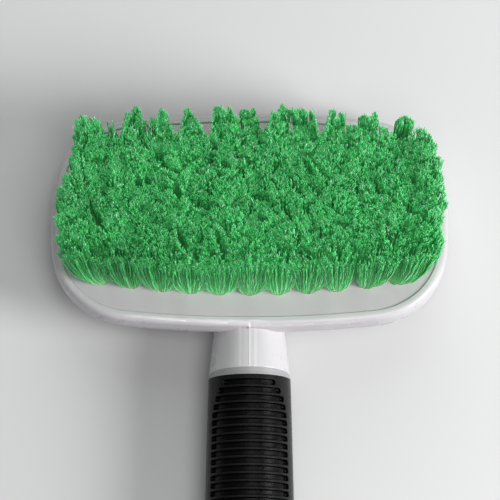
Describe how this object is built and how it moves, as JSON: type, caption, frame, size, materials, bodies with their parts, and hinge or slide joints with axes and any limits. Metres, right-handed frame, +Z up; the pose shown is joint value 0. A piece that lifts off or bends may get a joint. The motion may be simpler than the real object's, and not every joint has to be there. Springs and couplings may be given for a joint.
{
  "type": "wheel brush",
  "caption": "Hand brush for washing vehicle wheels: rounded rectangular head with dense flared bristle tufts, a bent-back neck and a ribbed rubber grip with a hanging hole.",
  "frame": {"origin": "on the surface that the brush rests on when it lies on its back, under the middle of its box", "axes": "+Y along the level handle from the hanging hole to the head, +Z up on the bristles' side, X across the head"},
  "size_m": [0.1528, 0.2586, 0.0614],
  "materials": {
    "white_plastic": "glossy moulded polypropylene",
    "block_plastic": "satin moulded polypropylene",
    "core_plastic": "glossy moulded polypropylene",
    "grip_rubber": "satin black thermoplastic rubber",
    "green_bristle": "flagged synthetic filament, bright green",
    "zinc_steel": "zinc plated",
    "staple_wire": "flat anchor wire"
  },
  "bodies": {
    "root": {"head_shell": "white_plastic", "bristle_block": "block_plastic", "handle_core": "core_plastic", "end_plug": "core_plastic", "grip_sleeve": "grip_rubber", "block_screws": "zinc_steel", "handle_screw": "zinc_steel", "tuft_row_1": "green_bristle", "staple_row_1": "staple_wire", "tuft_row_2": "green_bristle", "staple_row_2": "staple_wire", "tuft_row_3": "green_bristle", "staple_row_3": "staple_wire", "tuft_row_4": "green_bristle", "staple_row_4": "staple_wire", "tuft_row_5": "green_bristle", "staple_row_5": "staple_wire", "tuft_row_6": "green_bristle", "staple_row_6": "staple_wire", "tuft_row_7": "green_bristle", "staple_row_7": "staple_wire"}
  },
  "joints": []
}
